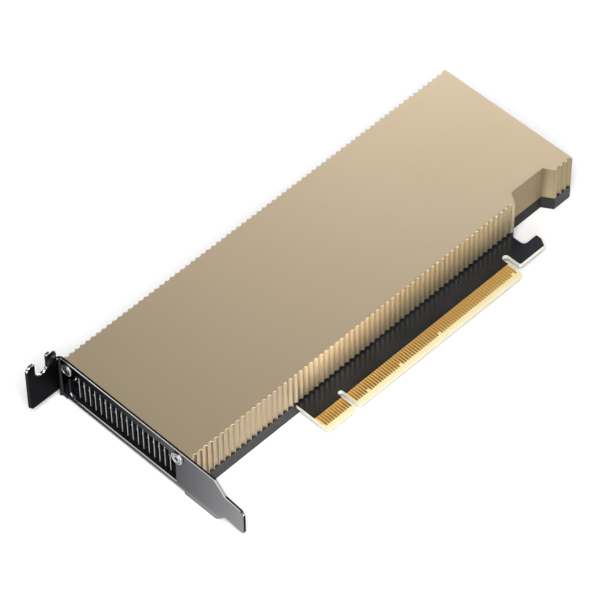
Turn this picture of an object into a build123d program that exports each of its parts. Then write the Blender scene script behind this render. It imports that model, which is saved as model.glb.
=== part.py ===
from build123d import *
import os
from math import atan2, cos, radians, sin, tan

os.makedirs("parts", exist_ok=True)

# Passive accelerator card, half length and half height, lying flat with its cooler up.
# Sizes are millimetres. While it is drawn, X runs from the outer face of the slot bracket
# to the rear end, Y from the tip of the contact tongue across the card, and Z up from the
# top face of the circuit board. At the end everything moves so that the origin lies at
# the middle of the underside.

# Whole card
CARD_LENGTH = 166.5
CARD_WIDTH = 54.5
SHROUD_TOP = 14.2
TRAY_DEPTH = 4.24
TONGUE_REACH = 13.4

# Rear recess in the near side, over the retention hook
REAR_CORNER_LENGTH = 7.3
RECESS_LENGTH = 19.0
RECESS_DEPTH = 3.6
RECESS_SLOPE = 2.35

# Circuit board
BOARD_T = 1.57
BOARD_FRONT_GAP = 0.94
BOARD_SIDE_GAP = 0.1
BOARD_CORNER_R = 1.0

# Contact tongue
TONGUE_X = 44.55
SHORT_TAB = 11.65
LONG_TAB = 71.65
KEY_WIDTH = 1.9
KEY_DEPTH = 8.25
TONGUE_CORNER_R = 0.9
BEVEL_LENGTH = 1.3
BEVEL_ANGLE = 20.0

# Gold contacts on both faces of the tongue
CONTACT_PITCH = 1.0
CONTACT_WIDTH = 0.7
CONTACT_END = 5.9
CONTACT_TIP_GAP = 0.35
CONTACT_T = 0.05
CONTACT_KEY_MARGIN = 0.55
PRESENCE_SHORTFALL = 1.0
PRESENCE_COMPONENT_SIDE = (17, 31, 48, 81)
PRESENCE_SOLDER_SIDE = (1,)

# Retention hook beside the tongue
SLOT_WIDTH = 2.4
SLOT_DEPTH = 9.3
HOOK_TIP_Y = 3.15
HOOK_NECK = 6.75
HOOK_LENGTH = 12.4
HOOK_TOE = 4.6
HOOK_INNER_R = 1.5
HOOK_CORNER_R = 0.7
HOOK_CUT_LENGTH = 1.5
HOOK_CUT_WIDTH = 2.6

# Tray under the board
TRAY_WALL = 1.2
TRAY_FLOOR = 1.0
TRAY_RIM = 0.9
SHELF_T = 0.75
TONGUE_CLEARANCE = 0.3
INSULATOR_T = 0.25
INSULATOR_MARGIN = 1.6

# Fluted shroud
SHROUD_SIDE_T = 2.2
SHROUD_TOP_T = 1.2
FLUTE_PITCH = 2.185
FLUTE_WIDTH = 1.9
FLUTE_DEPTH = 0.62
FLUTE_FRONT_LAND = 0.5
FLUTE_REAR_LAND = 0.1
REAR_FLUTES = 3

# Slot bracket
BRACKET_T = 0.86
BRACKET_WIDTH = 18.42
BRACKET_RISE = 14.5
BRACKET_BEND_R = 0.8
BRACKET_TONGUE_W = 10.19
BRACKET_TONGUE_TIP = -9.7
BRACKET_TONGUE_R = 1.6
BRACKET_TAPER_Y = 2.6
BRACKET_KICK_Y = 0.1
BRACKET_KICK_ANGLE = 3.3
BRACKET_CORNER_R = 1.4
BRACKET_OVERHANG = 1.0
TAB_SEAT_OFFSET = 0.74
TAB_LENGTH = 12.8
TAB_LOW = 0.2
TAB_HIGH = 19.6
TAB_RELIEF = 0.9
TAB_CORNER_R = 1.5
TAB_OUTER_EAR_R = 1.8
TAB_INNER_EAR_R = 2.6
TAB_SLOT_EDGE_R = 0.5
TAB_SLOT_WIDTH = 4.5
TAB_SLOT_X = 7.15
TAB_SLOT_END = 13.0
WINDOW_LOW = -0.9
WINDOW_HIGH = 11.4
WINDOW_NEAR_MARGIN = 6.0
WINDOW_FAR_MARGIN = 3.1
WINDOW_R = 1.9
WINDOW_EAR_R = 4.1
FLANGE_LENGTH = 7.5
FLANGE_RISE = 0.69
FLANGE_BEND_R = 1.1
FLANGE_INSET = 2.4
FLANGE_GAP = 0.1

# Screws through the bracket into the shroud
BRACKET_SCREW_INSET_NEAR = 4.65
BRACKET_SCREW_INSET_FAR = 2.35
BRACKET_SCREW_Z = 11.4
BRACKET_SCREW_R = 1.25
BRACKET_SCREW_REACH = 7.0
BRACKET_HEAD_R = 2.25
BRACKET_HEAD_H = 0.65
BRACKET_HEAD_CHAMFER = 0.25
BRACKET_BOSS_WALL = 1.1
SHANK_FIT = 0.03
CLEAR_FIT = 0.2

# How far a cut runs past the face that it leaves
OVERRUN = 1.0

# Screws through the tray into the shroud
TRAY_SCREW_R = 1.0
TRAY_SCREW_REACH = 6.0
SCREW_TIP_GAP = 1.0
TRAY_HEAD_R = 1.8
TRAY_HEAD_H = 0.6
TRAY_HEAD_FIT = 0.1
TRAY_SCREW_FRONT = 11.0
TRAY_SCREW_REAR = 3.9
POST_WALL = 1.3
POST_INSET = 1.7

# Fin stack
FIN_FRONT_GAP = 0.75
FIN_REAR_GAP = 12.5
FIN_SIDE_SPACE = 6.35
FIN_PITCH = 2.3
FIN_T = 0.3
FIN_WEB_T = 0.25
FIN_FRONT_LIFT = 1.0
FIN_POST_GAP = 0.1

# Heatsink base
BASE_END_MARGIN = 5.0
BASE_T = 2.6
BASE_SIDE_GAP = 1.5
BASE_CORNER_R = 2.0
HEATSINK_SCREW_GAP = 3.6
HEATSINK_SCREW_DY = 20.4
HEATSINK_SCREW_R = 1.0
HEATSINK_SCREW_BITE = 1.7
HEATSINK_HEAD_R = 1.9
HEATSINK_HEAD_H = 1.0
HEATSINK_HEAD_CHAMFER = 0.4
HEATSINK_BOSS_WALL = 1.0

# Processor package
PACKAGE_X = 75.0
PACKAGE_SIZE = 40.0
PACKAGE_T = 1.2
DIE_LENGTH = 22.0
DIE_WIDTH = 18.0
DIE_T = 0.8
PASTE_T = 0.1
PEDESTAL_T = 0.2
PEDESTAL_MARGIN = 2.0
STIFFENER_WIDTH = 4.5
STIFFENER_T = 0.6

# Memory chips, a row on each side of the package
MEMORY_LENGTH = 14.0
MEMORY_WIDTH = 12.0
MEMORY_T = 1.1
MEMORY_PITCH = 12.5
MEMORY_GAP = 7.0

# Power stage row behind the heatsink base
INDUCTOR_SIZE = 7.0
INDUCTOR_H = 3.4
INDUCTOR_EDGE_R = 0.6
PHASE_PITCH = 7.6
POWER_GAP = 3.2
STAGE_LENGTH = 5.0
STAGE_WIDTH = 6.0
STAGE_T = 0.9
STAGE_GAP = 1.2
CAPACITOR_R = 3.15
CAPACITOR_H = 4.3
CAPACITOR_FOOT_H = 0.6
CAPACITOR_FOOT_CHAMFER = 1.0
CAPACITOR_CAN_CHAMFER = 0.3
CAPACITOR_PITCH = 8.2
CAPACITOR_GAP = 1.4
CONTROLLER_SIZE = 6.0
CONTROLLER_T = 0.9
CONTROLLER_GAP = 1.4
FIRMWARE_LENGTH = 5.2
FIRMWARE_WIDTH = 4.0
CRYSTAL_LENGTH = 3.2
CRYSTAL_WIDTH = 2.5
CRYSTAL_T = 0.8

# Faces and lines that the pieces share
NEAR = TONGUE_REACH
FAR = NEAR + CARD_WIDTH
REAR = CARD_LENGTH
RECESS_REAR = REAR - REAR_CORNER_LENGTH
RECESS_FRONT = RECESS_REAR - RECESS_LENGTH
RECESS_Y = NEAR + RECESS_DEPTH
RECESS_TURN = tan(atan2(RECESS_DEPTH, RECESS_SLOPE) / 2)
TONGUE_END = TONGUE_X + SHORT_TAB + KEY_WIDTH + LONG_TAB
KEY_X = TONGUE_X + SHORT_TAB
BOARD_FRONT = BRACKET_T + BOARD_FRONT_GAP
BOARD_NEAR = NEAR + TRAY_WALL + BOARD_SIDE_GAP
BOARD_FAR = FAR - TRAY_WALL - BOARD_SIDE_GAP
BOARD_REAR = REAR - TRAY_WALL - BOARD_SIDE_GAP
BOARD_MID = (BOARD_NEAR + BOARD_FAR) / 2
HOOK_X = TONGUE_END + SLOT_WIDTH
INNER_NEAR = NEAR + SHROUD_SIDE_T
INNER_FAR = FAR - SHROUD_SIDE_T
INNER_RECESS = RECESS_Y + SHROUD_SIDE_T
INNER_TOP = SHROUD_TOP - SHROUD_TOP_T
FLOOR_TOP = -TRAY_DEPTH + TRAY_FLOOR
DIE_TOP = PACKAGE_T + DIE_T
MEMORY_FRONT = PACKAGE_X - PACKAGE_SIZE / 2 - MEMORY_GAP - MEMORY_LENGTH
MEMORY_REAR = PACKAGE_X + PACKAGE_SIZE / 2 + MEMORY_GAP + MEMORY_LENGTH
BASE_FRONT = MEMORY_FRONT - BASE_END_MARGIN
BASE_REAR = MEMORY_REAR + BASE_END_MARGIN
BASE_NEAR = INNER_NEAR + BASE_SIDE_GAP
BASE_FAR = INNER_FAR - BASE_SIDE_GAP
BASE_LOW = DIE_TOP + PASTE_T + PEDESTAL_T
BASE_TOP = BASE_LOW + BASE_T
FIN_FRONT = BRACKET_T + FIN_FRONT_GAP
FIN_REAR = REAR - FIN_REAR_GAP
FLANGE_Z = -TRAY_DEPTH + FLANGE_RISE
SCREW_NEAR_Y = NEAR + BRACKET_SCREW_INSET_NEAR
SCREW_FAR_Y = FAR - BRACKET_SCREW_INSET_FAR
POST_R = TRAY_SCREW_R + POST_WALL
POST_FAR_Y = INNER_FAR - POST_INSET
POST_NEAR_Y = INNER_NEAR + POST_INSET
FREE_FAR = POST_FAR_Y - POST_R
TAB_INNER_Y = FAR + TAB_SEAT_OFFSET
TAB_OUTER_Y = TAB_INNER_Y + BRACKET_T
BRACKET_LOW = BRACKET_RISE - BRACKET_WIDTH


def block(x0, x1, y0, y1, z0, z1):
    """A box between two values on each axis."""
    size = Box(x1 - x0, y1 - y0, z1 - z0, align=(Align.MIN, Align.MIN, Align.MIN))
    return Pos(x0, y0, z0) * size


def upright(x, y, z0, z1, radius):
    """A cylinder along Z."""
    rod = Cylinder(radius, z1 - z0, align=(Align.CENTER, Align.CENTER, Align.MIN))
    return Pos(x, y, z0) * rod


def lying(x0, x1, y, z, radius):
    """A cylinder along X."""
    rod = Cylinder(radius, x1 - x0, align=(Align.CENTER, Align.CENTER, Align.MIN))
    return Pos(x0, y, z) * Rot(0, 90, 0) * rod


def plate(outline, z0, z1):
    """A flat outline in X and Y, made solid between two heights."""
    return Pos(0, 0, z0) * extrude(outline, z1 - z0, dir=(0, 0, 1))


def polygon(*points):
    """A face in X and Y with straight sides."""
    return make_face(Polyline(*points, close=True))


def round_corner(face, point, radius):
    """Round the corner of a flat face that lies nearest to a point."""
    corner = face.vertices().sort_by_distance(point)[0]
    return fillet(corner, radius)


def side_profile(points, x0, x1):
    """A prism along X whose outline is given as Y and Z."""
    face = make_face(Polyline(*[(0, y, z) for y, z in points], close=True))
    return Pos(x0, 0, 0) * extrude(face, x1 - x0, dir=(1, 0, 0))


def cross_profile(points, y0, y1):
    """A prism along Y whose outline is given as X and Z."""
    face = make_face(Polyline(*[(x, 0, z) for x, z in points], close=True))
    return Pos(0, y0, 0) * extrude(face, y1 - y0, dir=(0, 1, 0))


def tray_screw_places():
    """Where the tray's screws stand: two at the front, two at the rear."""
    front = BRACKET_T + TRAY_SCREW_FRONT
    rear = REAR - TRAY_SCREW_REAR
    recess_middle = (NEAR + TRAY_WALL + RECESS_Y) / 2
    return [
        (front, POST_NEAR_Y),
        (front, POST_FAR_Y),
        (rear, recess_middle),
        (rear, POST_FAR_Y),
    ]


def heatsink_screw_places():
    """Four screws round the processor package."""
    away = PACKAGE_SIZE / 2 + HEATSINK_SCREW_GAP
    return [
        (PACKAGE_X + side * away, BOARD_MID + end * HEATSINK_SCREW_DY)
        for side in (-1, 1)
        for end in (-1, 1)
    ]


def flute_count(start, end):
    """How many whole flutes fit between two places along the card."""
    return int((end - start) / FLUTE_PITCH)


def flutes(start, count, y, inward):
    """Edges of a row of hollow flutes along X, with a narrow land between each two."""
    land = (FLUTE_PITCH - FLUTE_WIDTH) / 2
    edges = []
    for number in range(count):
        left = start + number * FLUTE_PITCH + land
        right = left + FLUTE_WIDTH
        middle = (left + right) / 2
        if edges:
            edges.append(Line((left - 2 * land, y), (left, y)))
        edges.append(ThreePointArc((left, y), (middle, y + inward * FLUTE_DEPTH), (right, y)))
    return edges


def card_outline(offset, front):
    """Plan of the card's body without flutes, drawn in by an offset, with its recess."""
    turn = offset * RECESS_TURN
    near = NEAR + offset
    recess = RECESS_Y + offset
    return [
        (front, near),
        (RECESS_FRONT - turn, near),
        (RECESS_FRONT + RECESS_SLOPE - turn, recess),
        (RECESS_REAR - RECESS_SLOPE + turn, recess),
        (RECESS_REAR + turn, near),
        (REAR - offset, near),
        (REAR - offset, FAR - offset),
        (front, FAR - offset),
    ]


def shroud_outline():
    """Plan of the shroud, with hollow flutes down both long sides."""
    land = (FLUTE_PITCH - FLUTE_WIDTH) / 2
    first = BRACKET_T + FLUTE_FRONT_LAND
    rear_first = REAR - FLUTE_REAR_LAND - REAR_FLUTES * FLUTE_PITCH
    near_run = flutes(first, flute_count(first, RECESS_FRONT), NEAR, 1)
    rear_run = flutes(rear_first, REAR_FLUTES, NEAR, 1)
    far_run = flutes(first, flute_count(first, REAR), FAR, -1)
    near_end = first + flute_count(first, RECESS_FRONT) * FLUTE_PITCH - land
    far_end = first + flute_count(first, REAR) * FLUTE_PITCH - land
    recess = [
        (near_end, NEAR),
        (RECESS_FRONT, NEAR),
        (RECESS_FRONT + RECESS_SLOPE, RECESS_Y),
        (RECESS_REAR - RECESS_SLOPE, RECESS_Y),
        (RECESS_REAR, NEAR),
        (rear_first + land, NEAR),
    ]
    rear_corner = [
        (REAR - FLUTE_REAR_LAND - land, NEAR),
        (REAR, NEAR),
        (REAR, FAR),
        (far_end, FAR),
    ]
    front_corner = [
        (first + land, FAR),
        (BRACKET_T, FAR),
        (BRACKET_T, NEAR),
        (first + land, NEAR),
    ]
    edges = near_run + list(Polyline(*recess).edges()) + rear_run
    edges += list(Polyline(*rear_corner).edges()) + far_run
    edges += list(Polyline(*front_corner).edges())
    return make_face(edges)


def make_shroud():
    """Fluted channel that is open at both ends, with screw bosses and posts inside."""
    body = plate(shroud_outline(), TRAY_RIM, SHROUD_TOP)
    turn_x = RECESS_FRONT - SHROUD_SIDE_T * RECESS_TURN
    channel_plan = polygon(
        (BRACKET_T - OVERRUN, INNER_NEAR),
        (turn_x, INNER_NEAR),
        (turn_x + RECESS_SLOPE, INNER_RECESS),
        (REAR + OVERRUN, INNER_RECESS),
        (REAR + OVERRUN, INNER_FAR),
        (BRACKET_T - OVERRUN, INNER_FAR),
    )
    channel = plate(channel_plan, TRAY_RIM, INNER_TOP)
    boss_end = BRACKET_T + BRACKET_SCREW_REACH + BRACKET_BOSS_WALL
    boss_r = BRACKET_SCREW_R + BRACKET_BOSS_WALL
    for y in (SCREW_NEAR_Y, SCREW_FAR_Y):
        channel -= lying(BRACKET_T, boss_end, y, BRACKET_SCREW_Z, boss_r)
    places = tray_screw_places()
    board_posts = [places[0], places[1], places[3]]
    for x, y in board_posts:
        channel -= upright(x, y, TRAY_RIM, INNER_TOP, POST_R)
    body -= channel
    for x, y in board_posts:
        foot = upright(x, y, 0, TRAY_RIM, POST_R)
        body += foot & block(x - POST_R, x + POST_R, INNER_NEAR, INNER_FAR, 0, TRAY_RIM)
    for x, y in places:
        body -= upright(x, y, 0, TRAY_SCREW_REACH + SCREW_TIP_GAP, TRAY_SCREW_R + SHANK_FIT)
    for y in (SCREW_NEAR_Y, SCREW_FAR_Y):
        end = BRACKET_T + BRACKET_SCREW_REACH + SHANK_FIT
        body -= lying(BRACKET_T, end, y, BRACKET_SCREW_Z, BRACKET_SCREW_R + SHANK_FIT)
    return body


def make_tray():
    """Shallow tray with a wall all round but for the front and the tongue's way out."""
    outer = plate(polygon(*card_outline(0, BRACKET_T)), -TRAY_DEPTH, TRAY_RIM)
    inner = plate(polygon(*card_outline(TRAY_WALL, BRACKET_T - OVERRUN)), FLOOR_TOP, TRAY_RIM)
    body = outer - inner
    shelf_end = FLANGE_LENGTH + FLANGE_GAP
    flange_near = NEAR + FLANGE_INSET - FLANGE_GAP
    flange_far = FAR - TRAY_WALL
    shelf_low = FLANGE_Z + BRACKET_T
    body -= block(0, shelf_end, flange_near, flange_far, -TRAY_DEPTH, shelf_low)
    body += block(FLANGE_BEND_R + FLANGE_GAP, shelf_end + TRAY_FLOOR, flange_near - TRAY_FLOOR,
                  flange_far, shelf_low, shelf_low + SHELF_T)
    places = tray_screw_places()
    for x, y in (places[0], places[1], places[3]):
        body += upright(x, y, FLOOR_TOP, -BOARD_T, POST_R)
    corner_x, corner_y = places[2]
    body += block(corner_x - POST_R, REAR - TRAY_WALL, NEAR + TRAY_WALL, RECESS_Y, FLOOR_TOP,
                  TRAY_RIM)
    body -= block(TONGUE_X - TONGUE_CLEARANCE, HOOK_X + HOOK_NECK + TONGUE_CLEARANCE,
                  NEAR - OVERRUN, RECESS_Y + TRAY_WALL + BOARD_SIDE_GAP, -BOARD_T, TRAY_RIM)
    for x, y in places:
        body -= upright(x, y, -TRAY_DEPTH, TRAY_RIM, TRAY_SCREW_R + CLEAR_FIT)
        body -= upright(x, y, -TRAY_DEPTH, -TRAY_DEPTH + TRAY_HEAD_H,
                        TRAY_HEAD_R + TRAY_HEAD_FIT)
    return body


def make_insulator():
    """Film on the tray's floor, clear of its bosses."""
    x0 = FLANGE_LENGTH + FLANGE_GAP + TRAY_FLOOR + INSULATOR_MARGIN
    x1 = REAR - TRAY_WALL - INSULATOR_MARGIN
    y0 = RECESS_Y + TRAY_WALL + INSULATOR_MARGIN
    y1 = FAR - TRAY_WALL - INSULATOR_MARGIN
    film = block(x0, x1, y0, y1, FLOOR_TOP, FLOOR_TOP + INSULATOR_T)
    for x, y in tray_screw_places():
        film -= upright(x, y, FLOOR_TOP, FLOOR_TOP + INSULATOR_T, POST_R + INSULATOR_MARGIN)
    return film


def board_outline():
    """Plan of the circuit board with tongue, key notch, slot and hook."""
    hook_end = HOOK_X + HOOK_LENGTH
    hook_top = HOOK_TIP_Y + HOOK_TOE
    neck = HOOK_X + HOOK_NECK
    rear_near = RECESS_Y + TRAY_WALL + BOARD_SIDE_GAP
    face = polygon(
        (TONGUE_X, 0),
        (TONGUE_END, 0),
        (TONGUE_END, HOOK_TIP_Y),
        (hook_end - HOOK_CUT_LENGTH, HOOK_TIP_Y),
        (hook_end, HOOK_TIP_Y + HOOK_CUT_WIDTH),
        (hook_end, hook_top),
        (neck, hook_top),
        (neck, rear_near),
        (BOARD_REAR, rear_near),
        (BOARD_REAR, BOARD_FAR),
        (BOARD_FRONT, BOARD_FAR),
        (BOARD_FRONT, BOARD_NEAR),
        (TONGUE_X, BOARD_NEAR),
    )
    face = round_corner(face, (neck, hook_top), HOOK_INNER_R)
    face = round_corner(face, (BOARD_REAR, BOARD_FAR), BOARD_CORNER_R)
    face = round_corner(face, (BOARD_REAR, rear_near), BOARD_CORNER_R)
    face = round_corner(face, (BOARD_FRONT, BOARD_FAR), BOARD_CORNER_R)
    face = round_corner(face, (BOARD_FRONT, BOARD_NEAR), BOARD_CORNER_R)
    face = round_corner(face, (TONGUE_X, 0), TONGUE_CORNER_R)
    for x, width, depth in ((KEY_X, KEY_WIDTH, KEY_DEPTH), (TONGUE_END, SLOT_WIDTH, SLOT_DEPTH)):
        radius = width / 2
        round_y = depth - radius
        face -= polygon((x, -OVERRUN), (x + width, -OVERRUN), (x + width, round_y), (x, round_y))
        face -= Pos(x + radius, round_y) * Circle(radius)
    for x in (KEY_X, KEY_X + KEY_WIDTH, TONGUE_END):
        face = round_corner(face, (x, 0), TONGUE_CORNER_R)
    return round_corner(face, (HOOK_X, HOOK_TIP_Y), HOOK_CORNER_R)


def make_board():
    """Circuit board with a bevelled tongue edge and its screw holes."""
    body = plate(board_outline(), -BOARD_T, 0)
    drop = (BEVEL_LENGTH + OVERRUN) * tan(radians(BEVEL_ANGLE))
    for face_z, way in ((0, 1), (-BOARD_T, -1)):
        above = face_z + way * OVERRUN
        bevel = [
            (-OVERRUN, face_z - way * drop),
            (-OVERRUN, above),
            (BEVEL_LENGTH, above),
            (BEVEL_LENGTH, face_z),
        ]
        body -= side_profile(bevel, TONGUE_X - OVERRUN, TONGUE_END + OVERRUN)
    places = tray_screw_places()
    for x, y in (places[0], places[1], places[3]):
        body -= upright(x, y, -BOARD_T, 0, TRAY_SCREW_R + CLEAR_FIT)
    for x, y in heatsink_screw_places():
        body -= upright(x, y, -BOARD_T, 0, HEATSINK_SCREW_R + CLEAR_FIT)
    return body


def contact_places():
    """Middle of each contact along the tongue, numbered from the bracket's end."""
    reach = CONTACT_KEY_MARGIN + CONTACT_WIDTH / 2
    short_count = int((SHORT_TAB - reach) / CONTACT_PITCH) + 1
    long_count = int((LONG_TAB - reach) / CONTACT_PITCH) + 1
    last_short = KEY_X - CONTACT_KEY_MARGIN
    first_long = KEY_X + KEY_WIDTH + CONTACT_KEY_MARGIN
    short = [last_short - (short_count - 1 - n) * CONTACT_PITCH for n in range(short_count)]
    return short + [first_long + n * CONTACT_PITCH for n in range(long_count)]


def make_contacts(z, shorter):
    """One face's row of contacts, with the presence contacts cut short at their tips."""
    row = []
    for number, x in enumerate(contact_places(), start=1):
        start = BEVEL_LENGTH + CONTACT_TIP_GAP + (PRESENCE_SHORTFALL if number in shorter else 0)
        half = CONTACT_WIDTH / 2
        row.append(block(x - half, x + half, start, CONTACT_END, z, z + CONTACT_T))
    return Compound(row)


def bracket_body_outline():
    """The bracket's face seen from the front, as Y and Z."""
    taper = (BRACKET_WIDTH - BRACKET_TONGUE_W) / 2
    tip = BRACKET_TONGUE_TIP
    tongue_y = BRACKET_TAPER_Y - taper
    free_end = FAR + BRACKET_OVERHANG
    flange_near = NEAR + FLANGE_INSET
    flange_far = FAR - TRAY_WALL - FLANGE_GAP
    bend = FLANGE_Z + FLANGE_BEND_R
    return [
        (TAB_OUTER_Y + OVERRUN, BRACKET_RISE),
        (BRACKET_TAPER_Y, BRACKET_RISE),
        (tongue_y, BRACKET_RISE - taper),
        (tip, BRACKET_RISE - taper),
        (tip, BRACKET_LOW + taper),
        (tongue_y, BRACKET_LOW + taper),
        (BRACKET_TAPER_Y, BRACKET_LOW),
        (flange_near, BRACKET_LOW),
        (flange_near, bend),
        (flange_far, bend),
        (flange_far, FLANGE_Z),
        (free_end, FLANGE_Z),
        (free_end, TAB_LOW),
        (TAB_OUTER_Y + OVERRUN, TAB_LOW),
    ]


def bracket_face():
    """Flat blank of the bracket's face with its window, as a solid along X."""
    taper = (BRACKET_WIDTH - BRACKET_TONGUE_W) / 2
    blank = polygon(*bracket_body_outline())
    for y, z, radius in (
        (BRACKET_TONGUE_TIP, BRACKET_RISE - taper, BRACKET_TONGUE_R),
        (BRACKET_TONGUE_TIP, BRACKET_LOW + taper, BRACKET_TONGUE_R),
        (FAR + BRACKET_OVERHANG, FLANGE_Z, BRACKET_CORNER_R),
    ):
        blank = round_corner(blank, (y, z), radius)
    window_near = NEAR + WINDOW_NEAR_MARGIN
    window_far = FAR - WINDOW_FAR_MARGIN
    window = polygon(
        (window_near, WINDOW_LOW),
        (window_far, WINDOW_LOW),
        (window_far, WINDOW_HIGH),
        (window_near, WINDOW_HIGH),
    )
    window = round_corner(window, (window_far, WINDOW_LOW), WINDOW_R)
    for y in (SCREW_NEAR_Y, SCREW_FAR_Y):
        window -= Pos(y, BRACKET_SCREW_Z) * Circle(WINDOW_EAR_R)
    blank -= window
    stand_up = Plane(origin=(0, 0, 0), x_dir=(0, 1, 0), z_dir=(1, 0, 0))
    reach = TAB_RELIEF + BRACKET_T
    return Pos(-TAB_RELIEF, 0, 0) * extrude(stand_up * blank, reach, dir=(1, 0, 0))


def tab_blank():
    """Outline of the top tab with its screw slot, as a solid along Y."""
    end = -TAB_LENGTH
    left = -TAB_SLOT_X - TAB_SLOT_WIDTH / 2
    right = -TAB_SLOT_X + TAB_SLOT_WIDTH / 2
    slot_r = TAB_SLOT_WIDTH / 2
    blank = polygon(
        (BRACKET_T, TAB_LOW),
        (end, TAB_LOW),
        (end, TAB_HIGH),
        (-TAB_RELIEF, TAB_HIGH),
        (-TAB_RELIEF, BRACKET_RISE),
        (BRACKET_T, BRACKET_RISE),
    )
    blank = round_corner(blank, (end, TAB_LOW), TAB_CORNER_R)
    slot_mid = TAB_SLOT_END + slot_r
    beyond = TAB_HIGH + OVERRUN
    blank -= polygon((left, slot_mid), (right, slot_mid), (right, beyond), (left, beyond))
    blank -= Pos(-TAB_SLOT_X, slot_mid) * Circle(slot_r)
    for x, radius in (
        (end, TAB_OUTER_EAR_R),
        (left, TAB_SLOT_EDGE_R),
        (right, TAB_SLOT_EDGE_R),
        (-TAB_RELIEF, TAB_INNER_EAR_R),
    ):
        blank = round_corner(blank, (x, TAB_HIGH), radius)
    stand_up = Plane(origin=(0, 0, 0), x_dir=(1, 0, 0), z_dir=(0, -1, 0))
    face = Pos(0, TAB_INNER_Y - OVERRUN, 0) * (stand_up * blank)
    return extrude(face, BRACKET_T + 2 * OVERRUN, dir=(0, 1, 0))


def bracket_strip():
    """The folded sheet before it is trimmed: tab, face and kicked-out lower tongue."""
    kick = radians(BRACKET_KICK_ANGLE)
    end_y = BRACKET_TONGUE_TIP - OVERRUN
    end_x = -(BRACKET_KICK_Y - end_y) * tan(kick)
    kink = BRACKET_T * tan(kick / 2)
    strip = polygon(
        (-TAB_LENGTH, TAB_INNER_Y),
        (0, TAB_INNER_Y),
        (0, BRACKET_KICK_Y),
        (end_x, end_y),
        (end_x + BRACKET_T * cos(kick), end_y - BRACKET_T * sin(kick)),
        (BRACKET_T, BRACKET_KICK_Y - kink),
        (BRACKET_T, TAB_OUTER_Y),
        (-TAB_LENGTH, TAB_OUTER_Y),
    )
    strip = round_corner(strip, (0, TAB_INNER_Y), BRACKET_BEND_R)
    strip = round_corner(strip, (BRACKET_T, TAB_OUTER_Y), BRACKET_BEND_R + BRACKET_T)
    return plate(strip, BRACKET_LOW - OVERRUN, TAB_HIGH + OVERRUN)


def bracket_flange():
    """Flange folded back under the tray, with its rounded bend."""
    low, outer, inner = FLANGE_Z, FLANGE_BEND_R, FLANGE_BEND_R - BRACKET_T
    bend_z = low + outer
    y0 = NEAR + FLANGE_INSET
    y1 = FAR - TRAY_WALL - FLANGE_GAP
    slant = cos(radians(45))
    edges = [
        ThreePointArc((0, y0, bend_z), (outer - outer * slant, y0, bend_z - outer * slant),
                      (outer, y0, low)),
        Line((outer, y0, low), (FLANGE_LENGTH, y0, low)),
        Line((FLANGE_LENGTH, y0, low), (FLANGE_LENGTH, y0, low + BRACKET_T)),
        Line((FLANGE_LENGTH, y0, low + BRACKET_T), (outer, y0, low + BRACKET_T)),
        ThreePointArc((outer, y0, low + BRACKET_T),
                      (outer - inner * slant, y0, bend_z - inner * slant),
                      (BRACKET_T, y0, bend_z)),
        Line((BRACKET_T, y0, bend_z), (0, y0, bend_z)),
    ]
    return extrude(make_face(edges), y1 - y0, dir=(0, 1, 0))


def make_bracket():
    """Slot bracket folded from one sheet: face, window, tab, tongue and flange."""
    body = bracket_strip() & (bracket_face() + tab_blank())
    for y in (SCREW_NEAR_Y, SCREW_FAR_Y):
        body -= lying(-OVERRUN, BRACKET_T + OVERRUN, y, BRACKET_SCREW_Z,
                      BRACKET_SCREW_R + SHANK_FIT)
    return body + bracket_flange()


def make_bracket_screw(y):
    """Low-headed screw that holds the bracket against the shroud."""
    head = lying(-BRACKET_HEAD_H, 0, y, BRACKET_SCREW_Z, BRACKET_HEAD_R)
    head = chamfer(head.edges().group_by(Axis.X)[0], BRACKET_HEAD_CHAMFER)
    shank_end = BRACKET_T + BRACKET_SCREW_REACH
    return head + lying(0, shank_end, y, BRACKET_SCREW_Z, BRACKET_SCREW_R)


def make_tray_screw(x, y):
    """Flat screw let into the underside of the tray."""
    seat = -TRAY_DEPTH + TRAY_HEAD_H
    head = upright(x, y, -TRAY_DEPTH, seat, TRAY_HEAD_R)
    return head + upright(x, y, seat, TRAY_SCREW_REACH, TRAY_SCREW_R)


def make_heatsink_screw(x, y):
    """Screw under the board that pulls the heatsink base down."""
    head = upright(x, y, -BOARD_T - HEATSINK_HEAD_H, -BOARD_T, HEATSINK_HEAD_R)
    head = chamfer(head.edges().group_by(Axis.Z)[0], HEATSINK_HEAD_CHAMFER)
    return head + upright(x, y, -BOARD_T, BASE_LOW + HEATSINK_SCREW_BITE, HEATSINK_SCREW_R)


def make_heatsink_base():
    """Base plate with the pedestal over the die and a boss at each screw."""
    corners = [
        (BASE_FRONT, BASE_NEAR),
        (BASE_REAR, BASE_NEAR),
        (BASE_REAR, BASE_FAR),
        (BASE_FRONT, BASE_FAR),
    ]
    plan = polygon(*corners)
    for corner in corners:
        plan = round_corner(plan, corner, BASE_CORNER_R)
    body = plate(plan, BASE_LOW, BASE_TOP)
    half_x = DIE_LENGTH / 2 + PEDESTAL_MARGIN
    half_y = DIE_WIDTH / 2 + PEDESTAL_MARGIN
    body += block(PACKAGE_X - half_x, PACKAGE_X + half_x, BOARD_MID - half_y,
                  BOARD_MID + half_y, BASE_LOW - PEDESTAL_T, BASE_LOW)
    for x, y in heatsink_screw_places():
        body += upright(x, y, 0, BASE_LOW, HEATSINK_SCREW_R + HEATSINK_BOSS_WALL)
        body -= upright(x, y, 0, BASE_LOW + HEATSINK_SCREW_BITE, HEATSINK_SCREW_R + SHANK_FIT)
    return body


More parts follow.
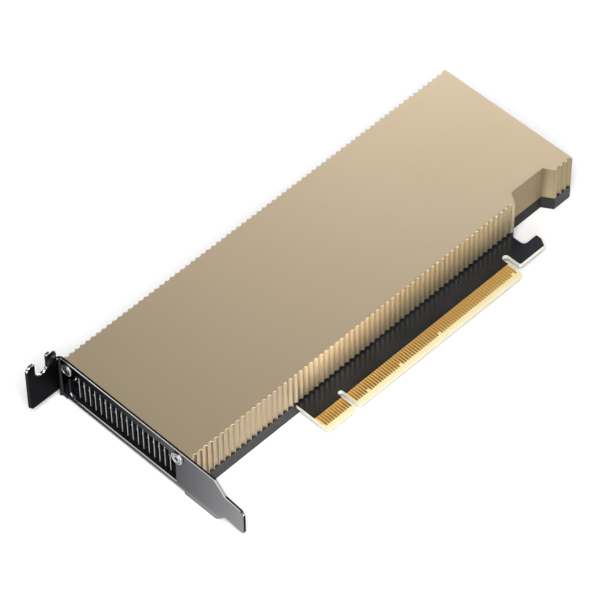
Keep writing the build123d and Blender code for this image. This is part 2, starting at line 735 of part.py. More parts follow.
def make_fin_stack():
    """Folded fins: deep at the front end, shallower over the base and power stages."""
    first = INNER_NEAR + FIN_SIDE_SPACE
    count = int((FREE_FAR - FIN_POST_GAP - first - FIN_T) / FIN_PITCH) + 1
    low_end = BASE_FRONT - CLEAR_FIT
    profile = [
        (FIN_FRONT, FIN_FRONT_LIFT),
        (low_end, FIN_FRONT_LIFT),
        (low_end, BASE_TOP),
        (FIN_REAR, BASE_TOP),
        (FIN_REAR, INNER_TOP),
        (FIN_FRONT, INNER_TOP),
    ]
    last = first + (count - 1) * FIN_PITCH
    stack = block(FIN_FRONT, FIN_REAR, first, last + FIN_T, INNER_TOP - FIN_WEB_T, INNER_TOP)
    stack += block(low_end, FIN_REAR, first, last + FIN_T, BASE_TOP, BASE_TOP + FIN_WEB_T)
    fins = []
    for number in range(count):
        y = first + number * FIN_PITCH
        fins.append(cross_profile(profile, y, y + FIN_T))
    return stack + fins


def make_package_substrate():
    """Laminate of the processor package."""
    half = PACKAGE_SIZE / 2
    return block(PACKAGE_X - half, PACKAGE_X + half, BOARD_MID - half, BOARD_MID + half, 0,
                 PACKAGE_T)


def make_package_die(z0, z1):
    """Bare die, or the paste on it, between two heights."""
    return block(PACKAGE_X - DIE_LENGTH / 2, PACKAGE_X + DIE_LENGTH / 2,
                 BOARD_MID - DIE_WIDTH / 2, BOARD_MID + DIE_WIDTH / 2, z0, z1)


def make_package_stiffener():
    """Flat ring round the edge of the package."""
    half = PACKAGE_SIZE / 2
    hole = half - STIFFENER_WIDTH
    top = PACKAGE_T + STIFFENER_T
    ring = block(PACKAGE_X - half, PACKAGE_X + half, BOARD_MID - half, BOARD_MID + half,
                 PACKAGE_T, top)
    return ring - block(PACKAGE_X - hole, PACKAGE_X + hole, BOARD_MID - hole, BOARD_MID + hole,
                        PACKAGE_T, top)


def row_places(size, pitch, near, far):
    """Middles of a row of pieces that fits between two places across the card."""
    count = int((far - near - size) / pitch) + 1
    middle = (near + far) / 2
    return [middle + (number - (count - 1) / 2) * pitch for number in range(count)]


def memory_columns():
    """Front and rear column of memory chips: low and high X of each."""
    return [(MEMORY_FRONT, MEMORY_FRONT + MEMORY_LENGTH), (MEMORY_REAR - MEMORY_LENGTH, MEMORY_REAR)]


def make_memory_chip(column, y):
    """One memory chip."""
    x0, x1 = column
    return block(x0, x1, y - MEMORY_WIDTH / 2, y + MEMORY_WIDTH / 2, 0, MEMORY_T)


def make_memory_pad(column):
    """Thermal pad over one column of memory chips, as wide as the heatsink base."""
    x0, x1 = column
    return block(x0, x1, BASE_NEAR, BASE_FAR, MEMORY_T, BASE_LOW)


def power_row_start():
    """Where the inductors begin, behind the heatsink base."""
    return BASE_REAR + POWER_GAP


def phase_places():
    """Middle of each power phase across the board, clear of the recess in a shorter card too."""
    return row_places(INDUCTOR_SIZE, PHASE_PITCH, INNER_RECESS, INNER_FAR)


def make_inductor(y):
    """Moulded power inductor with rounded upright edges."""
    x0 = power_row_start()
    half = INDUCTOR_SIZE / 2
    body = block(x0, x0 + INDUCTOR_SIZE, y - half, y + half, 0, INDUCTOR_H)
    return fillet(body.edges().filter_by(Axis.Z), INDUCTOR_EDGE_R)


def make_power_stage(y):
    """Flat power stage package behind its inductor."""
    x0 = power_row_start() + INDUCTOR_SIZE + STAGE_GAP
    half = STAGE_WIDTH / 2
    return block(x0, x0 + STAGE_LENGTH, y - half, y + half, 0, STAGE_T)


def make_power_pad():
    """Thermal pad between the inductors and the fin stack."""
    x0 = power_row_start()
    places = phase_places()
    near = places[0] - INDUCTOR_SIZE / 2
    far = places[-1] + INDUCTOR_SIZE / 2
    return block(x0, x0 + INDUCTOR_SIZE, near, far, INDUCTOR_H, BASE_TOP)


def capacitor_x():
    """Middle of the capacitor row, behind the power stages."""
    return (power_row_start() + INDUCTOR_SIZE + STAGE_GAP + STAGE_LENGTH + CAPACITOR_GAP
            + CAPACITOR_R)


def make_capacitor(y):
    """Polymer capacitor: a can on a square foot."""
    x = capacitor_x()
    foot = block(x - CAPACITOR_R, x + CAPACITOR_R, y - CAPACITOR_R, y + CAPACITOR_R, 0,
                 CAPACITOR_FOOT_H)
    front_edges = foot.edges().filter_by(Axis.Z).group_by(Axis.X)[0]
    foot = chamfer(front_edges, CAPACITOR_FOOT_CHAMFER)
    can = upright(x, y, CAPACITOR_FOOT_H, CAPACITOR_H, CAPACITOR_R)
    can = chamfer(can.edges().group_by(Axis.Z)[-1], CAPACITOR_CAN_CHAMFER)
    return foot + can


def make_small_chip(length, width, height, row):
    """One of the small chips in a line beside the front column of memory."""
    x1 = MEMORY_FRONT - CONTROLLER_GAP
    y = BOARD_MID + row * (CONTROLLER_SIZE + CONTROLLER_GAP)
    x0 = x1 - length
    return block(x0, x1, y - width / 2, y + width / 2, 0, height)


def save(shape, node):
    """Move a finished piece to the card's origin and write it as one STEP file."""
    middle_x = (CARD_LENGTH - TAB_LENGTH) / 2
    middle_y = (TAB_OUTER_Y + BRACKET_TONGUE_TIP) / 2
    placed = Pos(-middle_x, -middle_y, TRAY_DEPTH) * shape
    export_step(placed, f"parts/{node}.step")


def main():
    save(make_bracket(), "bracket")
    save(make_bracket_screw(SCREW_NEAR_Y), "bracket_screw_1")
    save(make_bracket_screw(SCREW_FAR_Y), "bracket_screw_2")
    save(make_shroud(), "shroud")
    save(make_tray(), "tray")
    save(make_insulator(), "insulator_sheet")
    save(make_board(), "board")
    save(make_contacts(0, PRESENCE_COMPONENT_SIDE), "contacts_component_side")
    save(make_contacts(-BOARD_T - CONTACT_T, PRESENCE_SOLDER_SIDE), "contacts_solder_side")
    save(make_fin_stack(), "fin_stack")
    save(make_heatsink_base(), "heatsink_base")
    save(make_package_substrate(), "package_substrate")
    save(make_package_die(PACKAGE_T, DIE_TOP), "package_die")
    save(make_package_die(DIE_TOP, DIE_TOP + PASTE_T), "thermal_paste")
    save(make_package_stiffener(), "package_stiffener")
    front_column, rear_column = memory_columns()
    chip_rows = row_places(MEMORY_WIDTH, MEMORY_PITCH, INNER_NEAR, INNER_FAR)
    chips = [(column, y) for column in (front_column, rear_column) for y in chip_rows]
    for number, (column, y) in enumerate(chips, start=1):
        save(make_memory_chip(column, y), f"memory_chip_{number}")
    save(make_memory_pad(front_column), "memory_pad_front")
    save(make_memory_pad(rear_column), "memory_pad_rear")
    for number, y in enumerate(phase_places(), start=1):
        save(make_inductor(y), f"inductor_{number}")
        save(make_power_stage(y), f"power_stage_{number}")
    save(make_power_pad(), "power_pad")
    can_rows = row_places(2 * CAPACITOR_R, CAPACITOR_PITCH, INNER_RECESS, FREE_FAR)
    for number, y in enumerate(can_rows, start=1):
        save(make_capacitor(y), f"polymer_capacitor_{number}")
    save(make_small_chip(CONTROLLER_SIZE, CONTROLLER_SIZE, CONTROLLER_T, 0), "power_controller")
    save(make_small_chip(FIRMWARE_LENGTH, FIRMWARE_WIDTH, CONTROLLER_T, 1), "firmware_chip")
    save(make_small_chip(CRYSTAL_LENGTH, CRYSTAL_WIDTH, CRYSTAL_T, -1), "clock_crystal")
    for number, (x, y) in enumerate(heatsink_screw_places(), start=1):
        save(make_heatsink_screw(x, y), f"heatsink_screw_{number}")
    for number, (x, y) in enumerate(tray_screw_places(), start=1):
        save(make_tray_screw(x, y), f"tray_screw_{number}")


main()
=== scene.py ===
"""Passive accelerator card, half length and half height, lying on a pale studio floor.

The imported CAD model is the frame. Sheet and machined pieces are worked up from merged copies
of their CAD nodes, and fins, screws and small details are modelled on top of it.
"""
import logging
from contextlib import contextmanager
from dataclasses import dataclass, field
from enum import Enum
from math import atan2, cos, pi, radians, sin, sqrt
from typing import Any, Callable, Iterator, Optional, Sequence

import bmesh
import bpy
from mathutils import Matrix, Vector


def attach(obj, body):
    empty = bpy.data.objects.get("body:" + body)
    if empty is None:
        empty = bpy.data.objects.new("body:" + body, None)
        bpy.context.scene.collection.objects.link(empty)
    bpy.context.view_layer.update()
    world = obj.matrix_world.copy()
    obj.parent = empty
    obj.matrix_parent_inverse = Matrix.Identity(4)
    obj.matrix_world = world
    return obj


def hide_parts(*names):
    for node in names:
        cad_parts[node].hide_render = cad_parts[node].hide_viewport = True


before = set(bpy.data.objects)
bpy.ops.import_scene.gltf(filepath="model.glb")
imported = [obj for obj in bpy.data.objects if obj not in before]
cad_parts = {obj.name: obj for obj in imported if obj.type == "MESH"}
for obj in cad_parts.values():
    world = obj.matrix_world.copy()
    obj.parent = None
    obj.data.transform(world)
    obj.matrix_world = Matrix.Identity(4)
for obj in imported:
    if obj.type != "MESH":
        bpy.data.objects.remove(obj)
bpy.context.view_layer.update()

log = logging.getLogger("card")

BODY = "root"
MM = 0.001
# Card coordinates, as the part is drawn: X from the bracket's outer face to the rear end, Y from
# the tip of the contact tongue across the card, Z up from the top face of the circuit board.
ORIGIN = Vector((76.85, 29.9, -4.24))

# A face looks straight along an axis when its normal has this share of it, and more along that
# axis than across it when it has the second one
FACING = 0.97
LEANING = 0.5
# Slack, in millimetres, when a place is compared with a line of the drawing
SLACK = 0.01
# How near, in metres, a cutting plane and a point may be and still count as touching
CUT_WITHIN = 1e-7
# Corners closer than this, in millimetres, are merged, and faces flatter than this, in degrees
MERGE_WITHIN = 0.0005
FLAT_WITHIN = 0.3

# Numbers of a Mix node's two colour inputs and of its colour output
MIX_FIRST, MIX_SECOND, MIX_RESULT = 6, 7, 2
# A band wave of scale one repeats after this length
WAVE_PERIOD = 2 * pi / 20

Triple = tuple[float, float, float]
Test = Callable[[Vector, Vector], bool]
Piece = bpy.types.Object
Tree = bpy.types.NodeTree
Socket = bpy.types.NodeSocket


def at(x: float, y: float, z: float) -> Vector:
    """Turn card coordinates in millimetres into a place in the frame, in metres."""
    return (Vector((x, y, z)) - ORIGIN) * MM


def card(place: Vector) -> Vector:
    """Turn a place in the frame, in metres, into card coordinates in millimetres."""
    return place / MM + ORIGIN


def linear(hex_colour: str) -> tuple[float, float, float, float]:
    """Turn an sRGB hex colour into linear light.

    Args:
        hex_colour: Six hex digits, with or without a hash.

    Returns:
        Red, green, blue and an alpha of one.
    """
    digits = hex_colour.lstrip("#")
    shares = [int(digits[i:i + 2], 16) / 255 for i in (0, 2, 4)]
    red, green, blue = (c / 12.92 if c <= 0.04045 else ((c + 0.055) / 1.055) ** 2.4 for c in shares)
    return red, green, blue, 1.0


# ---- finishes


def add_node(
    tree: Tree,
    kind: str,
    settings: Optional[dict[str, Any]] = None,
    links: Optional[dict[Any, Socket]] = None,
) -> bpy.types.Node:
    """Add one node to a tree.

    Args:
        tree: The node tree.
        kind: Blender's name of the node's type.
        settings: Socket or property names with their values.
        links: Input names or numbers with the sockets that feed them.

    Returns:
        The new node.
    """
    node = tree.nodes.new(kind)
    for name, value in (settings or {}).items():
        if hasattr(node, str(name)):
            setattr(node, name, value)
        else:
            node.inputs[name].default_value = value
    for name, socket in (links or {}).items():
        tree.links.new(socket, node.inputs[name])
    return node


class Grain(Enum):
    """How a surface was made, which says what its fine relief looks like."""

    BLASTED = "bead blasted"
    ROLLED = "rolled sheet"
    MACHINED = "machined"
    SPRAYED = "sprayed"
    MOULDED = "moulded"
    MASKED = "solder mask over traces"
    SAWN = "sawn edge of glass laminate"
    PLATED = "plated"


@dataclass(frozen=True)
class Relief:
    """Fine relief of a surface, in millimetres.

    size is the width of one grain, stretch how far it is drawn out along X, Y and Z, height the
    depth of the bump and spread how much the roughness varies.
    """

    size: float
    stretch: Triple
    height: float
    spread: float


RELIEFS = {
    # glass beads of 0.15 mm leave dimples that size; drawn at 0.5 mm so that they show
    Grain.BLASTED: Relief(0.5, (1, 1, 1), 0.012, 0.05),
    # rolling lines run the length of the sheet
    Grain.ROLLED: Relief(0.35, (0.05, 1, 1), 0.004, 0.07),
    Grain.MACHINED: Relief(0.4, (1, 0.06, 1), 0.004, 0.08),
    # orange peel of a thin spray coat, about 1.5 mm across
    Grain.SPRAYED: Relief(1.5, (1, 1, 1), 0.010, 0.06),
    Grain.MOULDED: Relief(0.3, (1, 1, 1), 0.010, 0.06),
    Grain.MASKED: Relief(2.0, (1, 1, 1), 0.008, 0.04),
    # glass cloth of the laminate has bundles about 0.4 mm apart
    Grain.SAWN: Relief(0.4, (1, 1, 0.3), 0.02, 0.05),
    Grain.PLATED: Relief(3.0, (1, 1, 1), 0.003, 0.04),
}


@dataclass(frozen=True)
class Fade:
    """Change of a finish's colour along one axis of the card, in card millimetres."""

    axis: str
    start: float
    end: float
    colour: str
    power: float = 1.0


@dataclass(frozen=True)
class Finish:
    """One finish: its colour, its gloss and the relief of its surface; some hold painted light or
    shade.

    Soft patches, patch millimetres wide, drift from the colour to the second one. The glance is
    the tint of what the surface mirrors.
    """

    name: str
    slot: Optional[str]
    colour: str
    second: str
    metallic: float
    roughness: float
    grain: Grain
    patch: float = 20.0
    ior: float = 1.5
    glance: str = "#FFFFFF"
    fades: tuple[Fade, ...] = ()

    def material(self) -> bpy.types.Material:
        """Make, or find again, the node material of this finish.

        Returns:
            A material that reads object coordinates only.
        """
        known = bpy.data.materials.get(self.name)
        if known:
            return known
        made = bpy.data.materials.new(self.name)
        made.use_nodes = True
        tree = made.node_tree
        tree.nodes.clear()
        relief = RELIEFS[self.grain]
        where = add_node(tree, "ShaderNodeTexCoord").outputs["Object"]
        fine = add_node(
            tree, "ShaderNodeMapping",
            {"Scale": tuple(s / (relief.size * MM) for s in relief.stretch)}, {"Vector": where},
        )
        grains = add_node(
            tree, "ShaderNodeTexNoise", {"Scale": 1.0, "Detail": 2.0}, {"Vector": fine.outputs[0]},
        )
        patches = add_node(
            tree, "ShaderNodeTexNoise", {"Scale": 1.0 / (self.patch * MM), "Detail": 3.0},
            {"Vector": where},
        )
        masked = self.grain is Grain.MASKED
        patch = patches.outputs["Fac"]
        traces = self._traces(tree, where, patch) if masked else patch
        tint = add_node(tree, "ShaderNodeMix", {"data_type": "RGBA"}, {"Factor": traces})
        tint.inputs[MIX_FIRST].default_value = linear(self.colour)
        tint.inputs[MIX_SECOND].default_value = linear(self.second)
        colour = tint.outputs[MIX_RESULT]
        for fade in self.fades:
            colour = self._faded(tree, where, colour, fade)
        gloss = add_node(
            tree, "ShaderNodeMapRange",
            {"To Min": max(0.02, self.roughness - relief.spread),
             "To Max": min(1.0, self.roughness + relief.spread)},
            {"Value": grains.outputs["Fac"]},
        )
        bump = add_node(
            tree, "ShaderNodeBump", {"Strength": 1.0, "Distance": relief.height * MM},
            {"Height": traces if masked else grains.outputs["Fac"]},
        )
        shader = add_node(
            tree, "ShaderNodeBsdfPrincipled",
            {"Metallic": self.metallic, "IOR": self.ior,
             "Specular Tint": linear(self.glance)},
            {"Base Color": colour, "Roughness": gloss.outputs["Result"],
             "Normal": bump.outputs["Normal"]},
        )
        add_node(
            tree, "ShaderNodeOutputMaterial", {}, {"Surface": shader.outputs["BSDF"]},
        )
        return made

    @staticmethod
    def _faded(
        tree: Tree, where: Socket,
        colour: Socket, fade: Fade,
    ) -> Socket:
        """Blend the colour towards another along one axis of the card.

        Args:
            tree: The node tree.
            where: Object coordinates.
            colour: The colour before the blend.
            fade: Where the blend runs and to which colour.

        Returns:
            The blended colour.
        """
        parts = add_node(tree, "ShaderNodeSeparateXYZ", {}, {"Vector": where})
        offset = ORIGIN["XYZ".index(fade.axis)]
        share = add_node(
            tree, "ShaderNodeMapRange",
            {"From Min": (fade.end - offset) * MM, "From Max": (fade.start - offset) * MM},
            {"Value": parts.outputs[fade.axis]},
        )
        curve = add_node(
            tree, "ShaderNodeMath", {"operation": "POWER"}, {0: share.outputs["Result"]},
        )
        curve.inputs[1].default_value = fade.power
        mix = add_node(
            tree, "ShaderNodeMix", {"data_type": "RGBA"}, {"Factor": curve.outputs[0]},
        )
        mix.inputs[MIX_FIRST].default_value = linear(fade.colour)
        tree.links.new(colour, mix.inputs[MIX_SECOND])
        return mix.outputs[MIX_RESULT]

    @staticmethod
    def _traces(
        tree: Tree, where: Socket, patch: Socket,
    ) -> Socket:
        """Copper traces under solder mask, seen as faint lines and a slight relief.

        Args:
            tree: The node tree.
            where: Object coordinates.
            patch: Soft noise that says where bundles of traces lie.

        Returns:
            One on a trace and zero beside it.
        """
        # bundles of traces swing out from the contacts in arcs; real ones are 0.3 mm apart, drawn
        # coarser so that they show
        trace_pitch = 1.1
        lines = add_node(
            tree, "ShaderNodeTexWave",
            {"wave_type": "BANDS", "bands_direction": "X",
             "Scale": WAVE_PERIOD / (trace_pitch * MM),
             "Distortion": 16.0, "Detail": 0.0, "Detail Scale": 0.3},
            {"Vector": where},
        )
        bundles = add_node(
            tree, "ShaderNodeMapRange", {"From Min": 0.42, "From Max": 0.58}, {"Value": patch},
        )
        both = add_node(
            tree, "ShaderNodeMath", {"operation": "MULTIPLY"},
            {0: lines.outputs["Fac"], 1: bundles.outputs["Result"]},
        )
        return both.outputs[0]


# Champagne anodised, bead-blasted aluminium: satin metal with no visible tool marks
CHAMPAGNE = Finish(
    "bead_blasted_champagne_anodised_aluminium", "champagne_aluminium",
    "#D4C09F", "#CFBB99", 1.0, 0.5, Grain.BLASTED, 30.0)
# The same anodising on the recess and the corner behind it, with painted shade: darker, most of all
# on the recess's wall
RECESS_SHADE_CHAMPAGNE = Finish(
    "champagne_aluminium_with_painted_recess_shade", "champagne_aluminium",
    "#BBAB8D", "#B6A688", 1.0, 0.5, Grain.BLASTED, 30.0,
    fades=(Fade("Y", 15.4, 16.8, "#9A886B"),
           Fade("X", 158.5, 160.0, "#A39475")))
# The same anodising on the near side's flutes, with painted light and shade along the row: lightest
# beside the front of the tongue
FLUTE_LIGHT_CHAMPAGNE = Finish(
    "champagne_aluminium_with_painted_light_on_flutes", "champagne_aluminium",
    "#EDDBB9", "#E7D4B1", 1.0, 0.5, Grain.BLASTED, 30.0,
    fades=(Fade("X", 54.0, 38.0, "#B7A68B"),
           Fade("X", 13.0, 7.0, "#C8B598"),
           Fade("X", 60.0, 90.0, "#CABB9C", 0.7),
           Fade("X", 140.0, 156.0, "#BEAE94")))
# Painted shade inside the channel: its faces are painted near black, so that no light comes back
# through the fins
CHANNEL_PAINTED_SHADE = Finish(
    "channel_with_painted_black_shade", "champagne_aluminium",
    "#0E0E0E", "#0B0B0B", 0.3, 0.6, Grain.BLASTED, 30.0)
# Satin black anodised tray: dark, slightly glossy metal
BLACK_TRAY = Finish(
    "satin_black_anodised_aluminium", "black_aluminium",
    "#262628", "#222224", 0.6, 0.38, Grain.SPRAYED)
# The same tray on the wall of its recess, painted darker and duller as painted shade
TRAY_RECESS_PAINTED_SHADE = Finish(
    "black_aluminium_with_painted_recess_shade", "black_aluminium",
    "#141416", "#111113", 0.2, 0.55, Grain.SPRAYED, ior=1.3)
# Nickel-plated steel: grey, rather sharp reflections, with painted shade that fades it to near
# black towards the tab's end
PLATE = Finish(
    "nickel_plated_sheet_with_painted_shade", "plated_steel",
    "#959596", "#8E8E90", 1.0, 0.24, Grain.PLATED, 15.0,
    glance="#B4B4B6", fades=(Fade("Y", -8.0, 62.0, "#1F1F20", 2.0),))
# The same sheet below the window, next to the fold: a lighter copy with painted light, and painted
# shade fading it towards the tab
PLATE_PAINTED_LIGHT_FOOT = Finish(
    "plated_sheet_with_painted_light_by_the_fold", "plated_steel",
    "#A0A0A1", "#98989A", 1.0, 0.24, Grain.PLATED, 15.0,
    glance="#B4B4B6", fades=(Fade("Y", -8.0, 85.0, "#1F1F20", 1.6),))
# The same sheet on the folded tab and the tongue's tip, painted near black as painted shade
PLATE_TAB_PAINTED_SHADE = Finish(
    "plated_steel_tab_with_painted_shade", "plated_steel",
    "#1E1E20", "#19191A", 1.0, 0.42, Grain.PLATED, 6.0, glance="#C0C0C2")
# The same sheet on the pressed dimple, painted lighter than the tab around it as painted light
PLATE_DIMPLE_PAINTED_LIGHT = Finish(
    "plated_dimple_with_painted_light", "plated_steel",
    "#404042", "#39393B", 1.0, 0.36, Grain.PLATED, 6.0, glance="#C0C0C2")
# The same sheet's corners and slanting cut edges, painted near white as a painted highlight: they
# catch every lamp
PAINTED_HIGHLIGHT_EDGE = Finish(
    "plated_steel_edge_with_painted_highlight", "plated_steel",
    "#F2F2F2", "#E8E8E8", 1.0, 0.22, Grain.PLATED, 15.0)
# Sheared edge without plating: dull dark steel, darkened further as painted shade
RAW_EDGE_PAINTED_SHADE = Finish(
    "sheared_steel_edge_with_painted_shade", "plated_steel",
    "#242426", "#1C1C1E", 0.8, 0.5, Grain.MACHINED, 5.0, glance="#606060")
# Zinc-plated, turned steel: bright with soft reflections
SCREW_STEEL = Finish(
    "zinc_plated_screw_steel", "screw_steel",
    "#B6B6B8", "#AAAAAC", 1.0, 0.3, Grain.MACHINED, 2.0)
# Black oxide on turned steel: dark with a dull shine
BLACK_SCREW = Finish(
    "black_oxide_screw_steel", "black_screw_steel",
    "#2A2A2C", "#222224", 0.9, 0.35, Grain.MACHINED, 2.0)
# Glossy black solder mask: thin clear lacquer over copper traces
MASK = Finish(
    "glossy_black_solder_mask", "board_laminate",
    "#17191D", "#24262B", 0.0, 0.22, Grain.MASKED, 12.0, ior=1.25)
# Routed edge of the board: pale, dull glass cloth and resin
LAMINATE_EDGE = Finish(
    "routed_glass_epoxy_laminate_edge", "board_laminate",
    "#DEDFD0", "#D2D3C0", 0.0, 0.6, Grain.SAWN, 4.0)
# Bare laminate between the contacts: straw-coloured, tinted by their gold
LAMINATE = Finish(
    "bare_glass_epoxy_laminate", "board_laminate",
    "#E2D3A0", "#DAC994", 0.0, 0.45, Grain.SAWN, 6.0,
    fades=(Fade("Y", 2.2, 2.6, "#D2B071"),))
# Ground bevel of the tongue: the same straw colour, duller
BEVEL = Finish(
    "bevelled_glass_epoxy_laminate", "board_laminate",
    "#DACDA6", "#D2C499", 0.0, 0.6, Grain.SAWN, 4.0)
# Hard gold plating: warm, half-sharp reflections
GOLD = Finish(
    "hard_gold_contact_plating", "contact_gold",
    "#D2A552", "#C89C4C", 1.0, 0.35, Grain.PLATED, 5.0)
# Rolled aluminium sheet: grey with reflections drawn out along the fins
FIN_METAL = Finish(
    "plain_rolled_aluminium_fin", "fin_aluminium",
    "#B4B4B6", "#A9A9AB", 1.0, 0.32, Grain.ROLLED, 10.0)
# Machined copper: reddish, with fine tool lines
COPPER = Finish(
    "machined_copper", "base_copper",
    "#C98A63", "#B97B56", 1.0, 0.3, Grain.MACHINED, 12.0)
# Matt polycarbonate: black without reflections
FILM = Finish(
    "matt_polycarbonate_film", "insulator_film",
    "#242424", "#202020", 0.0, 0.6, Grain.MOULDED)
# Green solder mask on the package: half gloss
GREEN_LAMINATE = Finish(
    "green_package_laminate", "package_laminate",
    "#2F6B47", "#295F3F", 0.0, 0.4, Grain.MASKED)
# Polished silicon: a dark, bluish mirror
SILICON = Finish(
    "polished_silicon", "silicon",
    "#6B7079", "#5F646E", 0.4, 0.12, Grain.PLATED)
# Nickel-plated steel ring: satin grey
STIFFENER = Finish(
    "satin_nickel_steel_ring", "stiffener_steel",
    "#B4B4B6", "#A8A8AA", 1.0, 0.35, Grain.MACHINED)
# Thermal paste: flat grey
PASTE = Finish(
    "grey_thermal_paste", "grey_paste",
    "#9A9A9A", "#8E8E8E", 0.0, 0.7, Grain.SPRAYED, 2.0)
# Silicone pad: flat bluish grey
PAD = Finish(
    "grey_silicone_thermal_pad", "pad_silicone",
    "#8E99A6", "#84909D", 0.0, 0.75, Grain.MOULDED, 5.0)
# Epoxy moulding compound: black, slightly rough
CHIP = Finish(
    "black_epoxy_moulding_compound", "chip_mould",
    "#2B2B2D", "#252527", 0.0, 0.55, Grain.MOULDED, 6.0)
# Pressed iron powder: dark grey and dull
INDUCTOR = Finish(
    "pressed_iron_powder", "inductor_mould",
    "#4A4A4D", "#414144", 0.1, 0.6, Grain.MOULDED, 3.0)
# Drawn aluminium can: light grey, bright
CAN = Finish(
    "bare_aluminium_can", "capacitor_can",
    "#D0D0D3", "#C4C4C8", 1.0, 0.3, Grain.ROLLED, 5.0)
# Brushed nickel lid: warm grey
CRYSTAL = Finish(
    "brushed_nickel_lid", "crystal_can",
    "#CFC9BC", "#C3BDB0", 1.0, 0.3, Grain.MACHINED, 3.0)
# Matt white studio paper: no reflection
FLOOR = Finish(
    "matt_white_studio_floor", None,
    "#F6F6F6", "#F3F3F3", 0.0, 0.8, Grain.SPRAYED, 300.0)


# ---- modelling


def activate(piece: Piece) -> None:
    """Make a piece the only selected and the active object."""
    bpy.ops.object.select_all(action="DESELECT")
    piece.select_set(True)
    bpy.context.view_layer.objects.active = piece


@contextmanager
def editing(piece: Piece) -> Iterator[None]:
    """Work on a piece in edit mode and leave that mode again."""
    activate(piece)
    bpy.ops.object.mode_set(mode="EDIT")
    try:
        yield
    finally:
        bpy.ops.object.mode_set(mode="OBJECT")


def pick_faces(piece: Piece, test: Test) -> None:
    """Select, in edit mode, the faces that a test names, and nothing else.

    Args:
        piece: The piece in edit mode.
        test: Reads a face's middle in card millimetres and its normal.
    """
    bpy.ops.mesh.select_mode(type="FACE")
    bpy.ops.mesh.select_all(action="DESELECT")
    mesh = bmesh.from_edit_mesh(piece.data)
    for face in mesh.faces:
        if test(card(face.calc_center_median()), face.normal):
            face.select_set(True)
    mesh.select_flush_mode()
    bmesh.update_edit_mesh(piece.data)


def cut(place: Vector, normal: tuple[int, int, int], **settings: Any) -> None:
    """Cut the piece in edit mode with a plane.

    Args:
        place: A place on the plane, in the frame.
        normal: The plane's normal.
        settings: Further settings of the cut.
    """
    bpy.ops.mesh.select_all(action="SELECT")
    bpy.ops.mesh.bisect(plane_co=place, plane_no=normal, **settings)


def modify(piece: Piece, kind: str, **settings: Any) -> None:
    """Add a modifier to a piece, set it and apply it.

    Args:
        piece: The piece.
        kind: Blender's name of the modifier's type.
        settings: The modifier's properties with their values.
    """
    activate(piece)
    modifier = piece.modifiers.new(kind.lower(), kind)
    for name, value in settings.items():
        setattr(modifier, name, value)
    bpy.ops.object.modifier_apply(modifier=modifier.name)


def smooth(piece: Piece, angle: float = 32.0) -> None:
    """Shade a piece smooth over its blunt edges, with flat faces kept flat.

    Args:
        piece: The piece.
        angle: Sharpest edge that is still shaded smooth, in degrees.
    """
    activate(piece)
    bpy.ops.object.shade_smooth_by_angle(angle=radians(angle))
    modify(piece, "WEIGHTED_NORMAL", keep_sharp=True, weight=60)


def merged_copy(node: str, name: str) -> Piece:
    """Copy a CAD node, merge its loose triangles and dissolve its flat faces.

    Args:
        node: The CAD node.
        name: The new piece's name.

    Returns:
        The new piece, which sits at the origin as its node does.
    """
    piece = bpy.data.objects.new(name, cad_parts[node].data.copy())
    bpy.context.scene.collection.objects.link(piece)
    piece.data.materials.clear()
    activate(piece)
    bpy.ops.mesh.customdata_custom_splitnormals_clear()
    with editing(piece):
        bpy.ops.mesh.select_all(action="SELECT")
        bpy.ops.mesh.remove_doubles(threshold=MERGE_WITHIN * MM)
        bpy.ops.mesh.dissolve_limited(angle_limit=radians(FLAT_WITHIN))
    return piece


def cube(name: str, low: Vector, high: Vector) -> Piece:
    """Start a piece from a cube between two places.

    Args:
        name: The piece's name.
        low: Lowest corner, in the frame.
        high: Highest corner, in the frame.

    Returns:
        The piece, at the origin with its place in its mesh.
    """
    bpy.ops.object.select_all(action="DESELECT")
    bpy.ops.mesh.primitive_cube_add(size=1.0, location=(low + high) / 2, scale=high - low)
    piece = bpy.context.object
    piece.name = name
    bpy.ops.object.transform_apply(location=True, rotation=True, scale=True)
    return piece


def join(pieces: Sequence[Piece]) -> Piece:
    """Join pieces into the first one.

    Args:
        pieces: The pieces, in the order that their meshes take.

    Returns:
        The first piece, which holds them all.
    """
    activate(pieces[0])
    for piece in pieces[1:]:
        piece.select_set(True)
    bpy.ops.object.join()
    return pieces[0]


def copied(piece: Piece, name: str, move: Matrix) -> Piece:
    """Copy a piece with its own mesh.

    Args:
        piece: The piece.
        name: The copy's name.
        move: Where the copy's mesh goes.

    Returns:
        The copy, which sits at the origin.
    """
    twin = bpy.data.objects.new(name, piece.data.copy())
    twin.data.transform(move)
    bpy.context.scene.collection.objects.link(twin)
    return twin


def dress(
    piece: Piece, *finishes: Finish,
    choose: Optional[Callable[[Vector, Vector], Finish]] = None,
) -> None:
    """Give a piece the materials of its finishes.

    Args:
        piece: The piece.
        finishes: Its finishes. All faces have the first one, unless choose says otherwise.
        choose: Reads a face's middle in card millimetres and its normal, and names its finish.
    """
    piece.data.materials.clear()
    for finish in finishes:
        piece.data.materials.append(finish.material())
    if choose:
        for face in piece.data.polygons:
            face.material_index = finishes.index(choose(card(face.center), face.normal))


def settle(piece: Piece, slot: str, *nodes: str) -> None:
    """Put a finished piece on its body, hide the CAD nodes it stands for, and report it.

    Args:
        piece: The piece.
        slot: Its material slot in the record; not used.
        nodes: The CAD nodes that it replaces.
    """
    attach(piece, BODY)
    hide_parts(*nodes)
    log.info("%s: %d faces", piece.name, len(piece.data.polygons))


# ---- shroud


